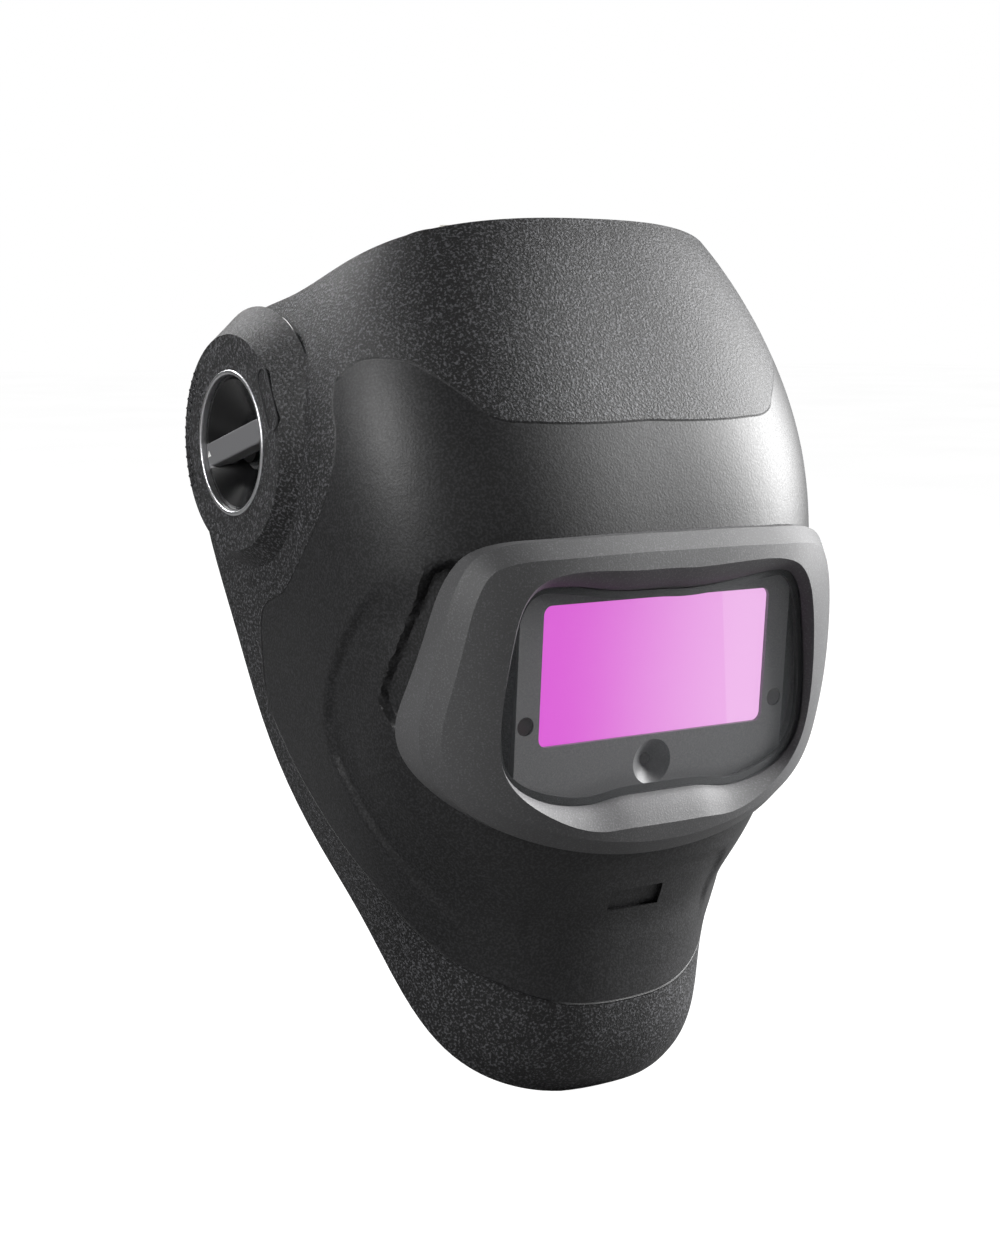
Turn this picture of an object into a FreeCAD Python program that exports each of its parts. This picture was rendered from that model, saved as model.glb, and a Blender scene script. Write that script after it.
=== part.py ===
"""Welding helmet with an auto-darkening filter, built up from named sizes.

Frame: millimetres, +Z up, the wearer looks along -Y, +X is the wearer's left.
The origin is the middle of the lift axis, which runs along X through both pivots.
"""
import FreeCAD, Part
import Sketcher
import math
import os

Vec = FreeCAD.Vector
Rot = FreeCAD.Rotation
doc = FreeCAD.newDocument("welding_helmet")

# ---------------------------------------------------------------- driving dimensions
DIMS = [
    ("wall", 3.0, "shell wall"),
    ("gap", 0.3, "clearance between pieces that slip past each other"),
    ("half_width", 111.0, "shell half width at the lift axis"),
    ("front_reach", 125.0, "shell front ahead of the lift axis, at its level"),
    ("crown_top", 97.0, "top of the uncut shell form"),
    ("chin_drop", 258.0, "depth of the chin below the lift axis"),
    ("boss_face", 117.5, "distance of the boss face from the middle"),
    ("boss_radius", 43.0, "boss face radius"),
    ("boss_base", 54.0, "boss radius where it meets the shell"),
    ("cup_radius", 29.0, "bore of the knob cup"),
    ("cup_depth", 14.0, "depth of the knob cup"),
    ("ring_wall", 1.8, "radial thickness of the bright ring"),
    ("ring_depth", 6.0, "depth of the bright ring"),
    ("knob_rise", 12.0, "height of the knob's grip bar"),
    ("bolt_radius", 4.0, "pivot bolt shank radius"),
    ("disc_radius", 22.0, "pivot disc radius"),
    ("disc_thick", 3.8, "pivot disc thickness"),
    ("window_wide", 107.0, "clear width of the filter"),
    ("window_high", 54.0, "clear height of the filter"),
    ("window_level", 80.0, "filter centre below the lift axis"),
    ("filter_front", 129.0, "filter front face ahead of the lift axis"),
    ("filter_tilt", 3.0, "filter leans back at its foot, in degrees"),
    ("housing_wide", 128.0, "filter housing width"),
    ("housing_high", 88.0, "filter housing height"),
    ("housing_drop", 6.0, "filter housing centre below the window centre"),
    ("housing_front", 8.0, "depth of the front half of the housing"),
    ("housing_back", 12.0, "depth of the rear half of the housing"),
    ("holder_rim", 8.0, "width of the filter holder's rim"),
    ("plate_thick", 1.5, "outer plate thickness"),
    ("plate_curve", 500.0, "outer plate bend radius"),
    ("plate_crest", 136.6, "outer plate crest ahead of the lift axis"),
    ("cover_thick", 10.0, "front cover depth over the shell"),
    ("cover_bevel", 4.5, "depth of the bevel round the front cover"),
    ("band_half", 82.3, "inner half width of the headband"),
    ("band_front", 117.3, "inner length of the headband ahead of its centre"),
    ("band_back", 20.0, "headband centre behind the lift axis"),
    ("band_thick", 2.0, "headband thickness"),
    ("band_low", 9.0, "headband lower edge below the lift axis"),
    ("band_high", 28.0, "headband upper edge at the brow"),
    ("tongue_thick", 2.0, "rack tongue thickness"),
    ("pinion_pitch", 5.0, "pinion pitch radius"),
    ("pinion_teeth", 10.0, "teeth on the pinion"),
    ("cradle_high", 15.0, "half height of the rear cradle"),
    ("cradle_span", 28.0, "half span of the rear cradle, in degrees"),
    ("dial_radius", 19.0, "size dial radius"),
    ("dial_depth", 15.0, "size dial depth"),
    ("strap_wide", 22.0, "crown strap width"),
    ("strap_thick", 1.6, "crown strap thickness"),
    ("strap_top", 84.5, "crown strap crest above the lift axis"),
    ("cell_radius", 10.0, "coin cell radius"),
    ("cell_thick", 3.2, "coin cell thickness"),
    ("button_radius", 4.0, "control button radius"),
]
sheet = doc.addObject("Spreadsheet::Sheet", "Sizes")
for row, (alias, value, note) in enumerate(DIMS, start=1):
    sheet.set(f"A{row}", note)
    sheet.set(f"B{row}", str(value))
    sheet.setAlias(f"B{row}", alias)
doc.recompute()


def size(alias):
    return float(sheet.get(alias))


subparts = []


def keep(obj, label):
    """Marks obj as a sub-part that is written to its own file."""
    obj.Label = label
    subparts.append(obj)
    return obj


def feature(label, shape):
    """A sub-part whose shape is made with Part's own functions."""
    obj = doc.addObject("Part::Feature", label)
    obj.Shape = shape
    return keep(obj, label)


# ---------------------------------------------------------------- PartDesign helpers
def origin_plane(body, role):
    return next(f for f in body.Origin.OriginFeatures if f.Role == role)


def new_sketch(body, name, level=None):
    """A sketch on the body's XY plane, lifted by the expression level."""
    sketch = body.newObject("Sketcher::SketchObject", name)
    sketch.AttachmentSupport = [(origin_plane(body, "XY_Plane"), "")]
    sketch.MapMode = "FlatFace"
    if level is not None:
        sketch.setExpression(".AttachmentOffset.Base.z", level)
    return sketch


def add_circle(sketch, radius):
    """A circle on the sketch origin with its radius from the sheet."""
    index = sketch.addGeometry(Part.Circle(Vec(0, 0, 0), Vec(0, 0, 1), 5.0), False)
    sketch.addConstraint(Sketcher.Constraint("Coincident", index, 3, -1, 1))
    number = sketch.addConstraint(Sketcher.Constraint("Radius", index, 5.0))
    sketch.setExpression(f"Constraints[{number}]", radius)


def add_rectangle(sketch, width, height):
    """A rectangle centred on the sketch origin with its sides from the sheet."""
    corners = [Vec(-5, -3, 0), Vec(5, -3, 0), Vec(5, 3, 0), Vec(-5, 3, 0)]
    first = None
    for start, end in zip(corners, corners[1:] + corners[:1]):
        index = sketch.addGeometry(Part.LineSegment(start, end), False)
        first = index if first is None else first
    for side in range(4):
        after = first + (side + 1) % 4
        sketch.addConstraint(Sketcher.Constraint("Coincident", first + side, 2, after, 1))
    for side, kind in enumerate(("Horizontal", "Vertical", "Horizontal", "Vertical")):
        sketch.addConstraint(Sketcher.Constraint(kind, first + side))
    sketch.addConstraint(Sketcher.Constraint("Symmetric", first, 1, first + 2, 1, -1, 1))
    wide = sketch.addConstraint(Sketcher.Constraint("DistanceX", first, 1, first, 2, 10.0))
    high = sketch.addConstraint(Sketcher.Constraint("DistanceY", first + 1, 1, first + 1, 2, 6.0))
    sketch.setExpression(f"Constraints[{wide}]", width)
    sketch.setExpression(f"Constraints[{high}]", height)


def pad(body, name, draw, length, level=None):
    """Pads what draw puts in a sketch by length, starting at level."""
    sketch = new_sketch(body, name + "_sketch", level)
    draw(sketch)
    result = body.newObject("PartDesign::Pad", name)
    result.Profile = sketch
    result.setExpression("Length", length)
    doc.recompute()
    return result


def new_body(label):
    return keep(doc.addObject("PartDesign::Body", label), label)


def place(obj, x="0", y="0", z="0", rotation=None):
    """Sets an object's place from sheet expressions."""
    obj.Placement = FreeCAD.Placement(Vec(0, 0, 0), rotation or Rot())
    for axis, value in zip("xyz", (x, y, z)):
        obj.setExpression(f".Placement.Base.{axis}", value)


ALONG_X = Rot(Vec(0, 0, 1), Vec(1, 0, 0))
ALONG_MINUS_X = Rot(Vec(0, 0, 1), Vec(-1, 0, 0))


def mirrored(source, label):
    """The same piece on the other side of the symmetry plane."""
    obj = doc.addObject("Part::Mirroring", label)
    obj.Source = source
    obj.Base = Vec(0, 0, 0)
    obj.Normal = Vec(1, 0, 0)
    return keep(obj, label)


# ---------------------------------------------------------------- shell form
# Level sections of the shell: share of the chin drop (below) or crown height (above),
# half width and front reach as shares of their values at the lift axis, fullness of the curve.
STATIONS = [
    (-1.000, 0.540, 0.800, 2.3),
    (-0.950, 0.605, 0.870, 2.4),
    (-0.860, 0.650, 0.900, 2.4),
    (-0.756, 0.690, 0.915, 2.4),
    (-0.640, 0.785, 0.985, 2.6),
    (-0.485, 0.892, 1.056, 3.0),
    (-0.310, 0.955, 1.080, 3.2),
    (-0.155, 0.991, 1.072, 3.2),
    (0.000, 1.000, 1.000, 3.1),
    (0.360, 0.946, 0.880, 2.9),
    (0.670, 0.829, 0.744, 2.7),
    (0.876, 0.703, 0.640, 2.5),
    (1.000, 0.580, 0.560, 2.4),
]
BACK = 60.0  # the uncut form runs this far behind the lift axis
WIDEST = -25.0  # y of the widest point of every section


def section_wire(level, half, front, fullness):
    """One level section: a rounded front closed by straight sides and a straight back."""
    points = []
    steps = 24
    for k in range(steps + 1):
        angle = math.pi * k / steps
        c, s = math.cos(angle), math.sin(angle)
        x = -half * math.copysign(abs(c) ** (2 / fullness), c)
        y = WIDEST - (WIDEST + front) * abs(s) ** (2 / fullness)
        points.append(Vec(x, y, level))
    curve = Part.BSplineCurve()
    curve.interpolate(points, InitialTangent=Vec(0, -1, 0), FinalTangent=Vec(0, 1, 0))
    left, right = points[0], points[-1]
    rear_left, rear_right = Vec(left.x, BACK, level), Vec(right.x, BACK, level)
    sides = [
        Part.makeLine(right, rear_right),
        Part.makeLine(rear_right, rear_left),
        Part.makeLine(rear_left, left),
    ]
    return Part.Wire([curve.toShape()] + sides)


def form(offset):
    """The closed shell form, grown by offset all round in each level section."""
    wires = []
    for share, width, reach, fullness in STATIONS:
        level = share * (size("chin_drop") if share < 0 else size("crown_top"))
        half = width * size("half_width") + offset
        front = reach * size("front_reach") + offset
        wires.append(section_wire(level, half, front, fullness))
    return Part.makeLoft(wires, True, False)


def prism(points, axis, low, high):
    """A straight prism of a closed outline, curve or polygon, given as a wire's points."""
    return face_prism(Part.makePolygon(points + [points[0]]), axis, low, high)


def face_prism(wire, axis, low, high):
    """Sweeps a flat wire that lies at zero along axis, from low to high."""
    face = Part.Face(wire)
    face.translate(axis * low)
    return face.extrude(axis * (high - low))


def smooth_wire(points, at):
    """A closed smooth curve through points; at turns each pair into a vector."""
    curve = Part.BSplineCurve()
    curve.interpolate([at(*p) for p in points], PeriodicFlag=True)
    return Part.Wire([curve.toShape()])


def both_sides(half):
    """Completes an outline given for x >= 0 from the top down."""
    return half + [(-x, z) for x, z in reversed(half) if x > 0]


def front_view(x, z):
    return Vec(x, 0, z)


REARWARD = Vec(0, 1, 0)
SIDEWAYS = Vec(1, 0, 0)
UP = Vec(0, 0, 1)
ORIGIN = Vec(0, 0, 0)

# ---------------------------------------------------------------- shell
# The rim seen from the side, crown to chin, as (y, z) from the lift axis.
RIM = [
    (-84, 92), (-60, 82), (-38, 70), (-10, 58), (16, 50), (36, 28), (43, 0),
    (40, -30), (22, -74), (4, -120), (-22, -172), (-52, -215), (-78, -243), (-104, -262),
]


def rim_prism():
    """Everything the shell keeps: ahead of the smooth rim line."""
    curve = Part.BSplineCurve()
    curve.interpolate([Vec(0, y, z) for y, z in RIM])
    top, bottom = RIM[0], RIM[-1]
    corners = [
        Vec(0, *bottom), Vec(0, -220, -300), Vec(0, -220, 140), Vec(0, -100, 140), Vec(0, *top),
    ]
    edges = [Part.makeLine(a, b) for a, b in zip(corners, corners[1:])]
    wire = Part.Wire([curve.toShape()] + edges)
    return face_prism(wire, SIDEWAYS, -200, 200)


def cylinder_x(radius, low, high):
    """A cylinder on the lift axis on the wearer's right."""
    return Part.makeCylinder(radius, high - low, Vec(-high, 0, 0), SIDEWAYS)


def flip(shape):
    return shape.mirror(ORIGIN, SIDEWAYS)


def tilted(shape):
    """Leans a shape with the filter about the window centre."""
    centre = Vec(0, -size("filter_front"), -size("window_level"))
    return shape.rotated(centre, SIDEWAYS, size("filter_tilt"))


wall, gap = size("wall"), size("gap")
outer_form, inner_form = form(0), form(-wall)
boss_depth = 13.0  # how far the boss cone reaches in from its face
cup_floor = size("boss_face") - size("cup_depth")
bush_outer = size("bolt_radius") + 2.0


def boss(shrink):
    """The raised round boss on one side, shrunk inwards for its hollow."""
    face = size("boss_face") - shrink
    return Part.makeCone(
        size("boss_base") - shrink, size("boss_radius") - shrink, boss_depth,
        Vec(-(face - boss_depth), 0, 0), Vec(-1, 0, 0),
    )


def rounded_window(wide, high, level, radius, low, high_y):
    """A prism along Y with a rounded rectangular section, centred on x = 0."""
    box = Part.makeBox(wide, high_y - low, high, Vec(-wide / 2, low, level - high / 2))
    edges = [e for e in box.Edges if abs(e.tangentAt(0).y) > 0.99]
    return box.makeFillet(radius, edges)


housing_level = -(size("window_level") + size("housing_drop"))
opening_wide = size("housing_wide") + 2 * gap
opening_high = size("housing_high") + 2 * gap
filter_opening = tilted(
    rounded_window(opening_wide, opening_high, housing_level, 12.0, -170, -90)
)
chin_slot = Part.makeBox(25, 30, 9, Vec(-12.5, -140, -179))

split = -size("filter_front") + size("housing_front")  # y where the two housing halves meet
TRAYS = (-48.0, 48.0)  # x of each battery tray
TRAY_WIDE, TRAY_DEEP = 2 * size("cell_radius") + 2.4, size("cell_thick") + 2.0
TRAY_TRAVEL = 17.0
tray_front = split + 3.4


def tray_run(x):
    """The space that a battery tray sweeps inside the shell as it is drawn down."""
    top = housing_level
    foot = housing_level - size("housing_high") / 2 - TRAY_TRAVEL - 1.0
    return tilted(Part.makeBox(
        TRAY_WIDE + 2 * gap, TRAY_DEEP + 2 * gap, top - foot,
        Vec(x - TRAY_WIDE / 2 - gap, tray_front - gap, foot)))


def make_shell():
    kept = rim_prism()
    round_boss = cylinder_x(size("boss_base"), 80, 130)
    solid = outer_form.common(kept)
    hollow = inner_form
    for side in (lambda s: s, flip):
        solid = solid.fuse(side(boss(0)))
    solid = solid.cut(hollow)
    for side in (lambda s: s, flip):
        hollow_boss = side(boss(wall))
        inward = side(cylinder_x(size("boss_base") - wall, 60, size("boss_face") - boss_depth))
        cup = side(cylinder_x(size("cup_radius") + wall, cup_floor - wall, size("boss_face")))
        bore = side(cylinder_x(size("cup_radius"), cup_floor, 140))
        hole = side(cylinder_x(bush_outer, 60, 140))
        solid = solid.cut(hollow_boss.fuse(inward)).fuse(cup).cut(bore).cut(hole)
    solid = solid.cut(filter_opening)
    for x in TRAYS:
        solid = solid.cut(tray_run(x))
    return solid.cut(chin_slot.cut(form(-2.0))).removeSplitter()


shell = feature("shell", make_shell())


# ---------------------------------------------------------------- front cover, outer plate, seal
# Outlines seen from the front, right half from the top down, as (x, z).
COVER_OUTLINE = [
    (0, -27.5), (30, -27.6), (55, -28.4), (72, -30.0), (81, -34.0), (87, -43.0), (91.5, -62.0),
    (94.5, -84.0), (95.4, -100.0), (92.5, -113.0), (85, -124.5), (71, -135.5), (53, -143.5),
    (27, -150.0), (0, -152.3),
]
PLATE_OUTLINE = [
    (0, -49.2), (20, -48.8), (38, -46.6), (51, -45.0), (60, -46.0), (65.5, -51.5), (69, -62.0),
    (71.5, -75.0), (73.4, -90.0), (73.6, -103.0), (71, -114.0), (63.5, -122.0), (52, -127.0),
    (40, -129.6), (30, -129.8), (20, -128.2), (10, -127.7), (0, -127.6),
]


def grown(points, grow):
    """Moves each point of a closed outline outwards, square to its neighbours' line."""
    count = len(points)
    area = sum(
        points[k][0] * points[(k + 1) % count][1] - points[(k + 1) % count][0] * points[k][1]
        for k in range(count)
    )
    turn = 1 if area > 0 else -1
    moved = []
    for k, (x, z) in enumerate(points):
        before, after = points[k - 1], points[(k + 1) % count]
        along_x, along_z = after[0] - before[0], after[1] - before[1]
        long = math.hypot(along_x, along_z)
        moved.append((x + turn * grow * along_z / long, z - turn * grow * along_x / long))
    return moved


def outline_wire(half_outline, grow=0.0):
    """A closed smooth curve of a symmetric outline given for x >= 0, grown sideways."""
    return smooth_wire(grown(both_sides(half_outline), grow), front_view)


def outline_prism(half_outline, low, high, grow=0.0):
    """A prism along Y of a symmetric outline, grown sideways by grow."""
    return face_prism(outline_wire(half_outline, grow), REARWARD, low, high)


def bent_sheet(front, thickness):
    """A sheet bent about an upright axis, with its crest front ahead of the lift axis."""
    outer = size("plate_curve")
    centre = Vec(0, outer - front, -300)
    return tilted(Part.makeCylinder(outer, 500, centre).cut(
        Part.makeCylinder(outer - thickness, 500, centre)
    ))


def cover_mouth(crest):
    """The funnel from the cover's crest line down to the outer plate."""
    wires = []
    for ahead, grow in ((crest - 9, -2.0), (crest - 1, 1.0), (crest + 5, 9.0), (crest + 14, 21.0)):
        wire = outline_wire(PLATE_OUTLINE, grow)
        wire.translate(Vec(0, -ahead, 0))
        wires.append(wire)
    return Part.makeLoft(wires, True, False)


def cassette_room():
    """The filter cassette's outline with clearance, for the pieces in front of it."""
    clear = 0.7
    return tilted(rounded_window(
        size("housing_wide") + 2 * clear, size("housing_high") + 2 * clear, housing_level, 12.0,
        -size("filter_front") - clear, -90))


def make_front_cover():
    body = outline_prism(COVER_OUTLINE, -170, -20).common(form(size("cover_thick")))
    body = body.cut(form(gap))
    body = max(body.Solids, key=lambda solid: solid.Volume)
    rims = [edge for edge in body.Edges if edge.Closed]
    front_rim = min(rims, key=lambda edge: edge.BoundBox.YMin)
    body = body.makeChamfer(size("cover_bevel"), 1.4 * size("cover_bevel"), [front_rim])
    crest = size("plate_crest")
    pocket_back = tilted(Part.makeCylinder(
        size("plate_curve") + gap, 500, Vec(0, size("plate_curve") - crest, -300)
    ))
    seat = outline_prism(PLATE_OUTLINE, -170, -90, gap).common(pocket_back)
    sight = outline_prism(PLATE_OUTLINE, -170, -90, -1.6)
    body = body.cut(seat).cut(sight).cut(tilted(cover_mouth(crest))).cut(cassette_room())
    return max(body.Solids, key=lambda s: s.Volume)


front_cover = feature("front_cover", make_front_cover())

plate_body = outline_prism(PLATE_OUTLINE, -170, -90).common(
    bent_sheet(size("plate_crest"), size("plate_thick"))
)
outer_plate = feature("outer_plate", plate_body)

seal_front = size("plate_crest") - size("plate_thick") - 0.1
seal_shape = outline_prism(PLATE_OUTLINE, -170, -90).common(bent_sheet(seal_front, 2.0))
seal_shape = seal_shape.cut(outline_prism(PLATE_OUTLINE, -170, -90, -3.0))
seal_shape = seal_shape.cut(form(gap)).cut(cassette_room())
plate_seal = feature("plate_seal", max(seal_shape.Solids, key=lambda s: s.Volume))

# ---------------------------------------------------------------- filter cassette
front_face = -size("filter_front")
front_depth, back_depth = size("housing_front"), size("housing_back")
window_level = -size("window_level")
FILTER_LIP = 2.0  # ledge that holds the glass on each side
glass_wide = size("window_wide") + 2 * FILTER_LIP
glass_high = size("window_high") + 2 * FILTER_LIP


def make_housing_front():
    wide, high = size("housing_wide"), size("housing_high")
    body = rounded_window(wide, high, housing_level, 12.0, front_face, split)
    body = body.cut(rounded_window(
        size("window_wide"), size("window_high"), window_level, 3.5, front_face - 1, split + 1))
    body = body.cut(rounded_window(
        glass_wide + 2 * gap, glass_high + 2 * gap, window_level, 2.0, front_face + 1.6, split + 1))
    dimple = Part.makeCone(9.0, 2.6, 4.5, Vec(0, front_face, -118), REARWARD)
    body = body.cut(dimple).cut(Part.makeCylinder(2.6, 20, Vec(0, front_face, -118), REARWARD))
    for x, z in SENSORS[1:]:
        body = body.cut(Part.makeCylinder(SENSOR_RADIUS + 0.05, 20, Vec(x, front_face - 1, z), REARWARD))
    return tilted(body)


SENSOR_RADIUS = 3.6
SENSORS = [(0, -118), (59.6, -98), (-59.6, -98)]
housing_front = feature("filter_housing_front", make_housing_front())


def make_housing_back():
    wide, high = size("housing_wide") - 6, size("housing_high") - 6
    body = rounded_window(wide, high, housing_level, 9.0, split, split + back_depth)
    body = body.cut(rounded_window(
        size("window_wide"), size("window_high"), window_level, 3.0, split - 1, split + back_depth + 1))
    body = body.cut(rounded_window(
        117 + gap, 64 + gap, window_level, 3.0, split + back_depth - 2.0, split + back_depth + 1))
    foot = housing_level - high / 2
    bay = foot + 1.0
    body = body.cut(Part.makeBox(2 * BOARD_HALF + 2 * gap, 5.0, cell_top + gap - bay,
                                 Vec(-BOARD_HALF - gap, split, bay)))
    for x in TRAYS:
        tray = Part.makeBox(TRAY_WIDE + 2 * gap, TRAY_DEEP + 2 * gap, 40,
                            Vec(x - TRAY_WIDE / 2 - gap, tray_front - gap, cell_top + gap - 40))
        body = body.cut(tray)
    for x in BUTTONS:
        body = body.cut(Part.makeCylinder(
            size("button_radius") + gap, 20, Vec(x, split, BUTTON_LEVEL), REARWARD))
    return tilted(body)


BUTTONS = (-18.0, 0.0, 18.0)  # x of each control button
BUTTON_LEVEL = -118.5
BOARD_HALF = 34.0
cell_top = window_level - size("window_high") / 2 - 3.4
housing_rear = feature("filter_housing_back", make_housing_back())

# Glass stack: coloured cover filter in front, liquid crystal cell behind, clear plate inside.
filter_glass = feature("filter_glass", tilted(rounded_window(
    glass_wide, glass_high, window_level, 1.8, front_face + 1.7, front_face + 4.1)))
crystal_cell = feature("liquid_crystal_cell", tilted(rounded_window(
    glass_wide, glass_high, window_level, 1.8, front_face + 4.2, split - 0.1)))
inner_plate = feature("inner_plate", tilted(rounded_window(
    117.0, 64.0, window_level, 2.8, split + back_depth - 1.8, split + back_depth - 0.8)))

sensor_parts = []
for x, z in SENSORS:
    deep = 4.7 if x == 0 else 0.6
    radius = 2.5 if x == 0 else SENSOR_RADIUS
    sensor_parts.append(Part.makeCylinder(radius, 2.4, Vec(x, front_face + deep, z), REARWARD))
feature("light_sensors", tilted(Part.makeCompound(sensor_parts)))

board = Part.makeBox(2 * BOARD_HALF, 1.6, 15.0, Vec(-BOARD_HALF, split + 0.6, cell_top - 15.2))
feature("circuit_board", tilted(board))


def make_tray(x):
    """A slide-out battery tray with a round seat for its cell and a grip lip."""
    deep = TRAY_DEEP
    foot = housing_level - (size("housing_high") - 6) / 2 - 2.0
    body = Part.makeBox(TRAY_WIDE, deep, cell_top - foot, Vec(x - TRAY_WIDE / 2, tray_front, foot))
    seat = Part.makeCylinder(
        size("cell_radius") + 0.1, size("cell_thick") + 0.1,
        Vec(x, tray_front - 0.01, cell_centre), REARWARD)
    return tilted(body.cut(seat))


def make_cell(x):
    cell = Part.makeCylinder(
        size("cell_radius"), size("cell_thick"), Vec(x, tray_front, cell_centre), REARWARD)
    rim = cell.Edges[0:1]
    return tilted(cell.makeFillet(0.4, rim))


cell_centre = cell_top - size("cell_radius") - 0.7
for side, x in (("right", TRAYS[0]), ("left", TRAYS[1])):
    feature(f"battery_tray_{side}", make_tray(x))
    feature(f"coin_cell_{side}", make_cell(x))

button_base, button_top = split + 3.4, split + back_depth + 1.2
for name, x in zip(("shade", "delay", "sensitivity"), BUTTONS):
    stem = Part.makeCylinder(
        size("button_radius"), button_top - button_base, Vec(x, button_base, BUTTON_LEVEL), REARWARD)
    crown = max(stem.Edges, key=lambda e: e.CenterOfMass.y if e.Closed else -999)
    feature(f"{name}_button", tilted(stem.makeFillet(0.8, [crown])))


def make_holder():
    """The frame behind the shell's opening that carries the cassette."""
    rim = size("holder_rim")
    wide, high = size("housing_wide"), size("housing_high")
    body = rounded_window(wide + 2 * rim + 6, high + 2 * rim, housing_level, 16.0, split + 0.1 - 6,
                          split + back_depth - 2)
    front_room = rounded_window(wide + 2 * gap, high + 2 * gap, housing_level, 12.0,
                                split - 20, split + 0.1)
    through = rounded_window(wide - 6 + 2 * gap, high - 6 + 2 * gap, housing_level, 9.0,
                             split - 20, split + 40)
    body = body.cut(front_room).cut(through)
    for x in TRAYS:
        body = body.cut(Part.makeBox(TRAY_WIDE + 4 * gap, TRAY_DEEP + 4 * gap, 60,
                                     Vec(x - TRAY_WIDE / 2 - 2 * gap, tray_front - 2 * gap,
                                         housing_level - high / 2 - 50)))
    body = tilted(body).common(form(-wall - 0.1))
    return max(body.Solids, key=lambda solid: solid.Volume)


filter_holder = feature("filter_holder", make_holder())

# ---------------------------------------------------------------- pivots
RIGHT, LEFT = ALONG_MINUS_X, ALONG_X


def turned(label, rotation, profile, x):
    """A body of pads about the lift axis; profile adds them, x places its base."""
    body = new_body(label)
    profile(body)
    place(body, x=x, rotation=rotation)
    return body


def ring_profile(outer, inner, length):
    def draw(sketch):
        add_circle(sketch, outer)
        add_circle(sketch, inner)

    return lambda body: pad(body, body.Label + "_ring", draw, length)


S = "Sizes."
CUP_FLOOR = f"{S}boss_face - {S}cup_depth"
DISC_OUT = f"({CUP_FLOOR} - {S}wall - 1.4)"
for side, turn, sign in (("right", RIGHT, "-"), ("left", LEFT, "")):
    ring = turned(
        f"knob_ring_{side}", turn,
        ring_profile(f"{S}cup_radius - 0.02", f"{S}cup_radius - {S}ring_wall", f"{S}ring_depth"),
        f"{sign}({S}boss_face - {S}ring_depth + 0.5)")
    ring_body = ring.Tip
    rounding = ring.newObject("PartDesign::Fillet", f"ring_round_{side}")
    rounding.Base = (ring_body, [
        f"Edge{k + 1}" for k, e in enumerate(ring_body.Shape.Edges)
        if e.Closed and abs(e.CenterOfMass.z - size("ring_depth")) < 0.01])
    rounding.Radius = 0.6
    turned(
        f"pivot_bush_{side}", turn,
        ring_profile(f"{S}bolt_radius + 1.95", f"{S}bolt_radius + 0.08", f"{S}wall"),
        f"{sign}({CUP_FLOOR} - {S}wall)")
    turned(
        f"friction_washer_{side}", turn,
        ring_profile(f"{S}disc_radius - 3", f"{S}bolt_radius + 0.3", "1.2"),
        f"{sign}({DISC_OUT} + 0.1)")
    turned(
        f"wave_spring_{side}", turn,
        ring_profile(f"{S}bolt_radius + 7", f"{S}bolt_radius + 3", "0.6"),
        f"{sign}({CUP_FLOOR} + 0.15)")
    turned(
        f"knob_nut_{side}", turn,
        ring_profile(f"{S}bolt_radius + 2.4", f"{S}bolt_radius + 0.08", "3.0"),
        f"{sign}({CUP_FLOOR} + 1.2)")

    def bolt_profile(body):
        pad(body, body.Label + "_head", lambda sk: add_rectangle(sk, "13", "13"), "3.2")
        pad(body, body.Label + "_shank", lambda sk: add_circle(sk, f"{S}bolt_radius"),
            f"{S}disc_thick + {S}wall + 1.4 + 7.0", "3.2")

    turned(f"pivot_bolt_{side}", turn, bolt_profile, f"{sign}({DISC_OUT} - {S}disc_thick - 0.2)")


def make_knob():
    """Friction knob on the right of the wearer: a scooped bowl with a raised grip bar."""
    base = cup_floor + 0.9
    outer = size("cup_radius") - size("ring_wall") - 0.35
    rise = size("knob_rise")
    body = cylinder_x(outer, base, base + rise - 1.0)
    bowl = Part.makeCone(11.0, outer - 1.2, rise - 2.6, Vec(-(base + 1.8), 0, 0), Vec(-1, 0, 0))
    body = body.cut(bowl)
    bar = Part.makeBox(rise - 1.6, 2 * outer - 2.4, 9.6,
                       Vec(-(base + rise), -outer + 1.2, -4.8))
    long_edges = [e for e in bar.Edges if abs(e.tangentAt(0).x) > 0.99]
    bar = bar.makeFillet(4.2, long_edges)
    top = [e for e in bar.Edges if abs(e.CenterOfMass.x + base + rise) < 0.01]
    bar = bar.makeFillet(0.8, top)
    hub = cylinder_x(size("bolt_radius") + 4.0, base, base + 5.2)
    body = body.fuse(bar).fuse(hub)
    nut_bore = cylinder_x(size("bolt_radius") + 2.45, base - 1, base + 3.6)
    relief = cylinder_x(size("bolt_radius") + 0.3, base - 1, base + rise - 2.0)
    body = body.cut(nut_bore).cut(relief).removeSplitter()
    return body.rotated(ORIGIN, SIDEWAYS, KNOB_REST)


KNOB_REST = -16.0  # the grip bar's lean at rest: its front end is up
knob_right = feature("friction_knob_right", make_knob())
mirrored(knob_right, "friction_knob_left")


# ---------------------------------------------------------------- carriers on the headband's sides
disc_out = cup_floor - wall - 1.4
disc_in = disc_out - size("disc_thick")
RAIL_IN, RAIL_OUT = 76.0, 90.0  # the rail's reach from the middle
RAIL_HALF = 7.0
CARRIER_HALF = 11.0
CARRIER_LONG = 44.0


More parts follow.
